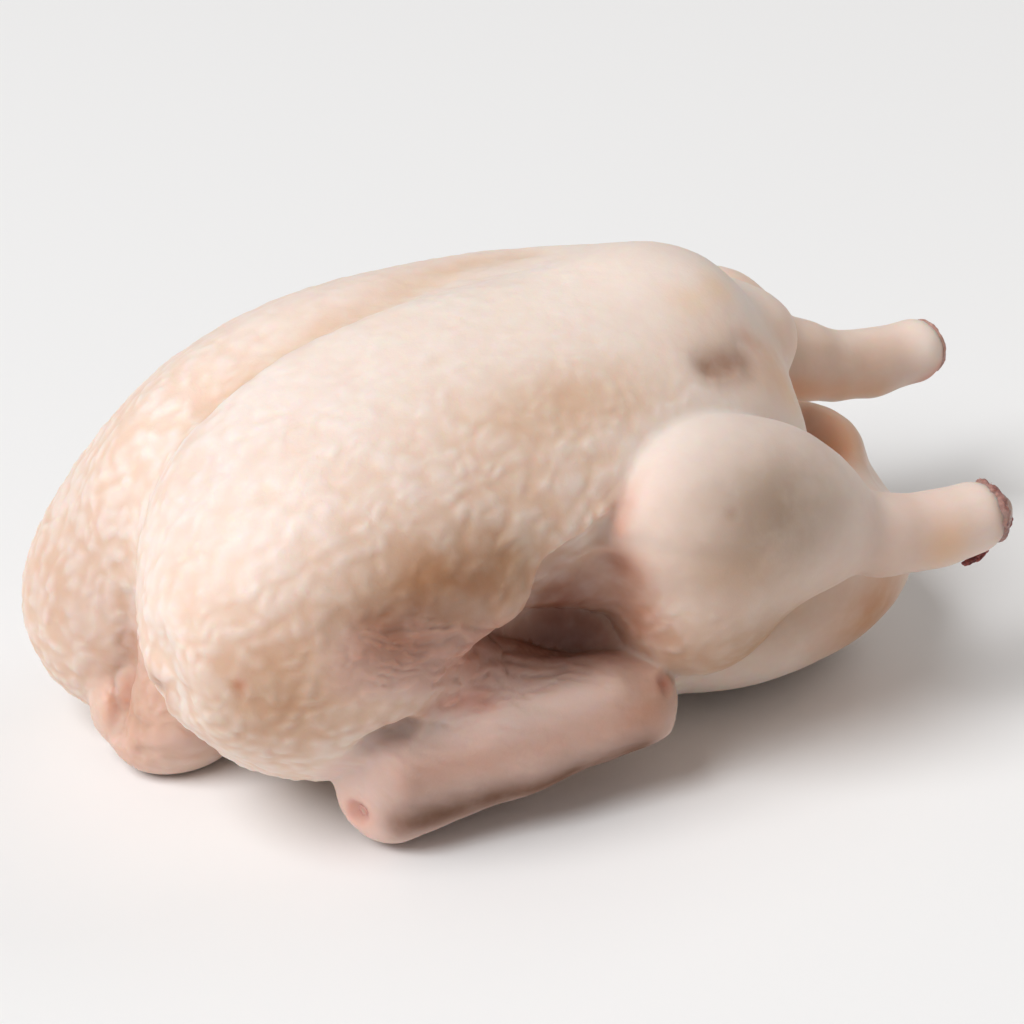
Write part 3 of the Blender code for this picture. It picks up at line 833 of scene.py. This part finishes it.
# the skin's own tones, painted shade and painted light, multiplied in from the tone-and-shade
# attribute
toned_and_shaded = mixed(paint, 1.0, colour, tone_and_shade_tint, "MULTIPLY")
colour = mixed(paint, mottle.eased(0.25, 0.6) * 0.2 + 0.8, colour, toned_and_shaded)
grain = paint.node("ShaderNodeBump", inputs={"Strength": 0.25, "Distance": 0.0004, "Height": fine})
paint.fill(skin_shader, {
    "Base Color": colour, "Normal": grain, "Roughness": fine * 0.16 + 0.42,
    "Subsurface Weight": 0.7, "Subsurface Radius": (1.0, 0.42, 0.24), "Subsurface Scale": 0.005,
    "Specular IOR Level": 0.35})


# ---------------------------------------------------------------------------------------
# Cut hocks. The feet were cut off at the joint, so each drumstick ends in raw dark flesh
# round a grey-brown bone end and pale tendons, and its torn rim curls over the skin's edge.

TENDON = (0.52, 0.37, 0.29, 1)
SKIN_RIM = (0.66, 0.46, 0.40, 1)


def raw_finish(name, deep, lean, dried):
    """The finish of raw cut flesh: dark in its pits, wet, pale at tendons and bone."""
    material, recipe, flesh_shader = new_finish(name)
    at = recipe.node("ShaderNodeTexCoord", out="Object")
    fibres = recipe.noise(at, 900.0, 3.0, 0.6)
    stains = recipe.noise(at, 260.0)
    base = mixed(recipe, fibres.eased(0.35, 0.68), (*deep, 1), (*lean, 1))
    base = mixed(recipe, stains.eased(0.52, 0.7) * 0.6, base, (*dried, 1))
    base = mixed(recipe, mask_of(recipe, "pale"), base, TENDON)
    base = mixed(recipe, mask_of(recipe, "skin_edge"), base, SKIN_RIM)
    bumps = recipe.node(
        "ShaderNodeBump", inputs={"Strength": 0.5, "Distance": 0.0003, "Height": fibres})
    recipe.fill(flesh_shader, {
        "Base Color": base, "Normal": bumps, "Roughness": stains * 0.3 + 0.22,
        "Subsurface Weight": 0.3, "Subsurface Radius": (1.0, 0.25, 0.15),
        "Subsurface Scale": 0.0015})
    return material


def grain_at(points, spacing, seed=0.0):
    """Soft noise at each point, about -1 to 1, its lumps one spacing apart."""
    shift = Vector((seed * 7.1, seed * 3.3, 0.0))
    return np.array([noise.noise(Vector(point) / spacing + shift) for point in points]) * 1.6


def finished(name, points, faces, finish, masks):
    """A piece from points in millimetres, put in the frame, riding with the duck."""
    mesh = bpy.data.meshes.new(name)
    mesh.from_pydata([tuple(point) for point in points], [], faces)
    for mask_name, values in masks.items():
        save_mask(mesh, mask_name, values)
    mesh.materials.append(finish)
    into_frame(mesh)
    mesh.shade_smooth()
    piece = new_object(name, mesh)
    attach(piece, "root")
    return piece


def way_out(inside, away, furthest=30.0, rounds=22):
    """How far from a point inside the flesh the skin lies along each direction."""
    near_end, far_end = np.zeros(len(away)), np.full(len(away), furthest)
    for _ in range(rounds):
        middle = (near_end + far_end) / 2
        within = skin(inside + away * middle[:, None]) < 0
        near_end, far_end = np.where(within, middle, near_end), np.where(within, far_end, middle)
    return near_end


def raw_cap(name, inside, facing, widest, finish, lift=0.5, rim=0.7, tendons=(),
            around=150, rings=44, seed=1.0):
    """A thin layer of torn flesh on a limb's cut end, laid out from a point inside the limb.

    It reaches widest degrees from the way it faces, stands up by lift, more at its rim and
    at each tendon (a place, a radius and a rise), and closes at a root inside the limb.
    """
    inside = np.array(inside, float)
    ahead = np.array(facing, float) / np.linalg.norm(facing)
    side = np.cross(ahead, (0.0, 0.0, 1.0))
    side /= np.linalg.norm(side)
    over = np.cross(side, ahead)
    turn = np.linspace(0.0, 2.0 * math.pi, around, endpoint=False)
    circle = np.stack([np.cos(turn), np.sin(turn), turn * 0], 1)
    ragged = grain_at(circle, 0.35, seed) + 0.6 * grain_at(circle, 0.12, seed + 1)
    share = np.repeat(np.arange(1, rings + 1) / rings, around)
    angle = share * np.tile(math.radians(widest) * (1.0 + 0.07 * ragged), rings)
    turns = np.tile(turn, rings)
    away = np.cos(angle)[:, None] * ahead + np.sin(angle)[:, None] * (
        np.cos(turns)[:, None] * side + np.sin(turns)[:, None] * over)
    away = np.vstack([ahead, away])
    share = np.append(0.0, share)
    depth = way_out(inside, away)
    ground = inside + away * depth[:, None]
    height = lift + 0.45 * lift * grain_at(ground, 2.6, seed)
    height += 0.3 * lift * grain_at(ground, 1.1, seed)
    at_rim = np.exp(-((share - 0.86) / 0.09) ** 2)
    height += rim * at_rim * (1 + 0.5 * grain_at(ground, 2.0, seed + 2))
    pale = np.zeros(len(ground))
    for place, radius, rise in tendons:
        on_it = near(ground, place, (radius,) * 3)
        height += rise * on_it
        pale = np.maximum(pale, on_it)
    height = np.where(share > 0.97, -0.5, height)
    root = inside + ahead * depth.min() * 0.4
    points = np.vstack([ground + away * height[:, None], root])
    faces = []
    for i in range(around):
        j = (i + 1) % around
        faces.append((0, 1 + i, 1 + j))
        for ring in range(rings - 1):
            a, b = 1 + ring * around, 1 + (ring + 1) * around
            faces.append((a + i, b + i, b + j, a + j))
        last = 1 + (rings - 1) * around
        faces.append((last + j, last + i, len(points) - 1))
    return finished(name, points, faces, finish, {
        "pale": np.append(pale, 0.0),
        "skin_edge": np.append(0.8 * smooth_step((share - 0.97) / 0.02), 1.0)})


hock_finish = raw_finish(
    "raw_hock_flesh", deep=(0.16, 0.035, 0.03), lean=(0.36, 0.14, 0.11), dried=(0.28, 0.15, 0.10))
dry_finish = raw_finish(
    "raw_hock_dry", deep=(0.34, 0.12, 0.09), lean=(0.52, 0.27, 0.21), dried=(0.42, 0.22, 0.16))
near_cut = raw_cap(
    "near_hock_cut", (228, -68, 56), (1, 0.06, 0.13), 47, hock_finish, lift=0.7, rim=0.35,
    tendons=[((240, -66, 56), 3.6, 0.9), ((239, -73, 60), 2.6, 1.0), ((240, -62, 60), 1.6, 0.5)])
raw_cap("far_hock_cut", (281, 41.5, 52.3), (1, 0.12, 0.05), 40, dry_finish, lift=0.35, rim=0.3,
        tendons=[((296, 42, 53), 3.4, 0.8), ((295, 36, 50), 1.6, 0.5)], seed=4.0)


# ---------------------------------------------------------------------------------------
# Torn scraps. The blade left ragged red shreds of muscle hanging from the near hock's lower
# edge and at its tip. They are lean meat, wet, and hang by one end.

def scrap(centre, radii, lean_deg, swing_deg, seed, detail=4):
    """The points and faces of one ragged lump of meat."""
    bm = bmesh.new()
    bmesh.ops.create_icosphere(bm, subdivisions=detail, radius=1.0)
    points = np.array([vertex.co[:] for vertex in bm.verts])
    faces = [tuple(vertex.index for vertex in face.verts) for face in bm.faces]
    bm.free()
    swell = 1.0 + 0.30 * grain_at(points, 0.9, seed) + 0.16 * grain_at(points, 0.35, seed + 3)
    swing = Matrix.Rotation(math.radians(swing_deg), 3, "Z")
    turn = np.array(swing @ Matrix.Rotation(math.radians(lean_deg), 3, "Y"))
    return (points * swell[:, None] * radii) @ turn.T + centre, faces


# Three lumps hang under the hock's edge and two lie at its tip: each one's centre, radii,
# lean, swing and seed.
SCRAPS = [
    ((233.8, -68.5, 46.4), (3.6, 1.3, 1.0), -24, 5, 2.0),
    ((230.4, -69.0, 45.2), (2.4, 1.0, 0.7), -12, 0, 5.0),
    ((236.2, -67.5, 48.0), (1.5, 1.3, 2.2), 10, 0, 8.0),
    ((241.0, -69.0, 54.0), (1.5, 1.9, 2.6), 20, 10, 11.0),
    ((240.0, -66.0, 51.0), (1.8, 2.4, 1.6), 0, 0, 14.0)]
scrap_finish = raw_finish(
    "raw_scrap_flesh", deep=(0.13, 0.02, 0.02), lean=(0.34, 0.09, 0.08), dried=(0.50, 0.24, 0.20))
points, faces = np.zeros((0, 3)), []
for sizes_and_place in SCRAPS:
    new_points, new_faces = scrap(*sizes_and_place)
    faces += [tuple(index + len(points) for index in face) for face in new_faces]
    points = np.vstack([points, new_points])
no_mask = np.zeros(len(points))
finished("near_hock_scraps", points, faces, scrap_finish, {"pale": no_mask, "skin_edge": no_mask})


# ---------------------------------------------------------------------------------------
# Cut wrists. The wing tips were cut off at the wrist, which leaves a small wet red spot of
# flesh and joint in each wing's front end, with the pale skin drawn in round it.

wrist_finish = raw_finish(
    "raw_wrist_flesh", deep=(0.56, 0.23, 0.19), lean=(0.68, 0.36, 0.31), dried=(0.60, 0.33, 0.27))
for name, mirrored in (("right_wrist_cut", False), ("left_wrist_cut", True)):
    inside, facing, joint = np.array([(62, -58.5, 14), (-1, -0.04, -0.16), (55.4, -58.8, 12.9)])
    if mirrored:
        inside, joint = left_side(np.array([inside, joint]))
        facing = facing * (1, -1, 1)
    raw_cap(name, inside, facing, 13, wrist_finish, lift=0.2, rim=0.0,
            tendons=[(joint, 0.8, 0.3)], around=90, rings=22, seed=6.0)


# ---------------------------------------------------------------------------------------
# Wisps. A few fine hairs of down and torn fibre were left at the near hock's cut rim and at
# its tip. Each is a thin bent thread, rooted in the flesh.

wisps, given, wisp_slots = geometry_recipe("wisps", {
    "Density": NUMBER, "Length": NUMBER, "Thickness": NUMBER, "Seed": WHOLE, "Finish": MATERIAL})
roots = wisps.node("GeometryNodeDistributePointsOnFaces", inputs={
    "Mesh": given["Geometry"], "Density": given["Density"], "Seed": given["Seed"]}, out="Points")
upright_turn = Socket(wisps, roots.socket.node.outputs["Rotation"])
thread = wisps.node("GeometryNodeCurveQuadraticBezier", inputs={
    "Resolution": 7, "Start": (0.0, 0.0, -0.1), "Middle": (0.05, 0.0, 0.6),
    "End": (0.55, 0.1, 1.0)})
thread = wisps.node("GeometryNodeTransform", inputs={
    "Geometry": thread,
    "Scale": wisps.node("ShaderNodeCombineXYZ", inputs=[given["Length"]] * 3)})
strand = wisps.node("GeometryNodeCurvePrimitiveCircle", inputs={
    "Resolution": 3, "Radius": given["Thickness"]})
thread = wisps.node("GeometryNodeCurveToMesh", inputs={
    "Curve": thread, "Profile Curve": strand, "Fill Caps": True})
random_turn = wisps.node("FunctionNodeRandomValue", {"data_type": "FLOAT_VECTOR"}, {
    "Min": (-0.7, -0.7, 0.0), "Max": (0.7, 0.7, 6.28), "Seed": given["Seed"]}, out="Value")
turned = wisps.node("FunctionNodeRotateRotation", {"rotation_space": "LOCAL"}, {
    "Rotation": upright_turn, "Rotate By": random_turn})
random_size = wisps.node("FunctionNodeRandomValue", {"data_type": "FLOAT"}, {
    "Min_001": 0.4, "Max_001": 1.3, "Seed": given["Seed"] + 1.0}, out="Value_001")
spread = wisps.node("GeometryNodeInstanceOnPoints", inputs={
    "Points": roots, "Instance": thread, "Rotation": turned, "Scale": random_size})
leave(wisps, spread, given["Finish"])

wisp_finish, recipe, wisp_shader = new_finish("raw_wisp")
recipe.fill(wisp_shader, {"Base Color": (0.62, 0.38, 0.34, 1), "Roughness": 0.45})


def wisps_at(name, source, centre, radius, density, seed):
    """Wisps growing on the faces of a piece that lie near a place in millimetres."""
    bm = bmesh.new()
    bm.from_mesh(source.data)
    middle = (Vector(centre) - Vector((*REST_SPOT, PRESSED_FLAT))) * 0.001
    far_off = [face for face in bm.faces
               if (face.calc_center_median() - middle).length > radius * 0.001]
    bmesh.ops.delete(bm, geom=far_off, context="FACES")
    mesh = bpy.data.meshes.new(name)
    bm.to_mesh(mesh)
    bm.free()
    piece = new_object(name, mesh)
    run_tree(wisps, wisp_slots, piece, {
        "Density": density, "Length": 0.0042, "Thickness": 0.00007, "Seed": seed,
        "Finish": wisp_finish})
    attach(piece, "root")


wisps_at("near_hock_wisps", near_cut, (236, -64, 66.5), 4.5, 260000.0, 3)
wisps_at("near_hock_tip_wisps", near_cut, (240, -69, 52), 4.0, 120000.0, 7)


# ---------------------------------------------------------------------------------------
# Studio. A pale matt floor under one large soft light from the neck's end, a weak one from
# the tail's end and an even warm fill, with the camera above the bird's right side.

floor_finish, recipe, floor_shader = new_finish("studio_floor_white")
recipe.fill(floor_shader, {
    "Base Color": (0.86, 0.855, 0.85, 1), "Roughness": 0.6, "Specular IOR Level": 0.2})
bm = bmesh.new()
bmesh.ops.create_grid(bm, x_segments=1, y_segments=1, size=6.0)
floor_mesh = bpy.data.meshes.new("studio_floor")
bm.to_mesh(floor_mesh)
bm.free()
floor = new_object("studio_floor", floor_mesh)
floor.data.materials.append(floor_finish)

LOOKED_AT = Vector((0.018, 0.007, 0.0496))
VIEW_DISTANCE = 1.06
VIEW_AZIMUTH, VIEW_ELEVATION = math.radians(-29.0), math.radians(25.5)


def aim(obj, target):
    obj.rotation_euler = (obj.location - target).to_track_quat("Z", "Y").to_euler()


def soft_light(name, way, distance, size, power, colour):
    lamp = bpy.data.lights.new(name, "AREA")
    lamp.shape = "DISK"
    lamp.size = size
    lamp.energy = power
    lamp.color = colour
    obj = new_object(name, lamp)
    obj.location = LOOKED_AT + distance * Vector(way)
    aim(obj, LOOKED_AT)


soft_light("key_light", (-0.661, -0.112, 0.742), 6.0, 4.2, 372.0, (0.985, 1.0, 1.02))
soft_light("side_light", (0.786, 0.137, 0.603), 4.0, 3.0, 28.0, (1.0, 0.99, 0.97))
world = bpy.data.worlds.new("studio_fill")
world.use_nodes = True
Recipe(world.node_tree).fill(world.node_tree.nodes["Background"], {
    "Color": (1.0, 0.965, 0.93, 1), "Strength": 0.275})
bpy.context.scene.world = world
bpy.context.scene.view_settings.view_transform = "Standard"

camera_data = bpy.data.cameras.new("camera")
camera_data.lens = 138.9
camera_data.sensor_width = 36.0
camera_data.clip_end = 20.0
camera = new_object("camera", camera_data)
camera.location = LOOKED_AT + VIEW_DISTANCE * Vector((
    math.sin(VIEW_AZIMUTH) * math.cos(VIEW_ELEVATION),
    -math.cos(VIEW_AZIMUTH) * math.cos(VIEW_ELEVATION),
    math.sin(VIEW_ELEVATION)))
aim(camera, LOOKED_AT)
bpy.context.scene.camera = camera
